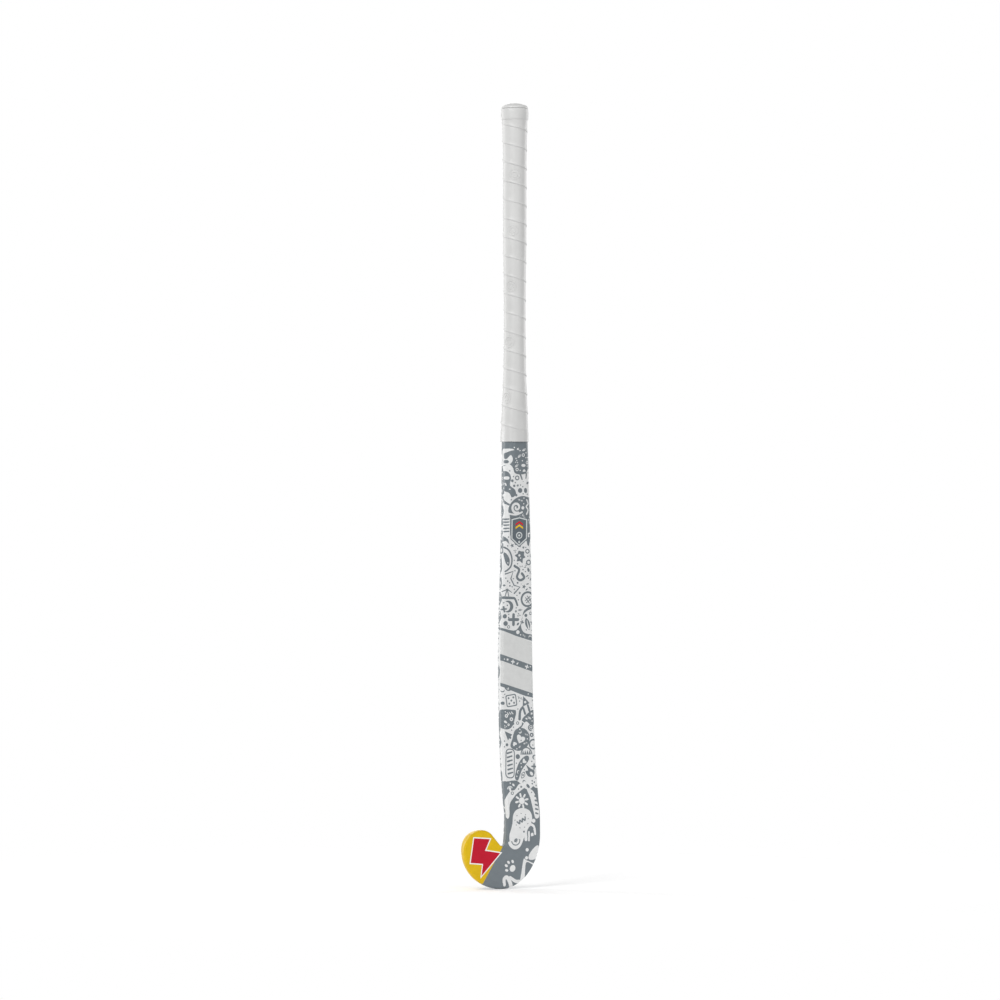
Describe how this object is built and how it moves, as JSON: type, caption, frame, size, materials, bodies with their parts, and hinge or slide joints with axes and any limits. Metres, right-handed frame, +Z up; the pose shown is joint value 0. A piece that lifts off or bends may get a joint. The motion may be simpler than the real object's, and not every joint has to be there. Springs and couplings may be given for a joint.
{
  "type": "field hockey stick",
  "caption": "Bowed composite field hockey stick with a flat playing face, rounded back, tight J-shaped hook and a spiral-wrapped cushion grip, for pushing and hitting a ball on the ground.",
  "frame": {"origin": "on the handle's axis, at the middle of the wrapped butt collar", "axes": "+Z up the handle towards the butt cap, -Y out of the flat playing face, -X towards the toe of the hook"},
  "size_m": [0.1016, 0.0365, 0.927],
  "materials": {
    "laminate": "carbon and glass laminate under film",
    "air_tube": "thin nylon tube",
    "foam": "rigid polyurethane foam",
    "aramid": "woven aramid, resin wetted",
    "underwrap": "double-sided cloth tape",
    "rubber": "soft matte",
    "grip": "pale grey polyurethane cushion grip, satin, fine perforation",
    "finishing_tape": "pale stretch vinyl tape, satin",
    "cap": "moulded polyurethane, satin",
    "print": "slate and pale print under clear gloss lacquer",
    "print_pale": "pale print under clear gloss lacquer",
    "toe_yellow": "yellow print under clear gloss lacquer",
    "emblem_red": "red foil decal with a white outline, gloss lacquer",
    "crest": "printed shield decal, gloss lacquer"
  },
  "bodies": {
    "root": {"composite_shell": "laminate", "web_spar": "laminate", "air_tube_toe_side": "air_tube", "air_tube_heel_side": "air_tube", "head_core": "foam", "aramid_head_sock": "aramid", "handle_plug": "foam", "handle_foam_sleeve": "foam", "underwrap_tape": "underwrap", "butt_ring": "rubber", "grip_wrap": "grip", "finishing_tape": "finishing_tape", "end_cap": "cap", "toe_emblem": "emblem_red", "crest_decal": "crest", "toe_film": "toe_yellow", "shaft_print_film": "print"}
  },
  "joints": []
}
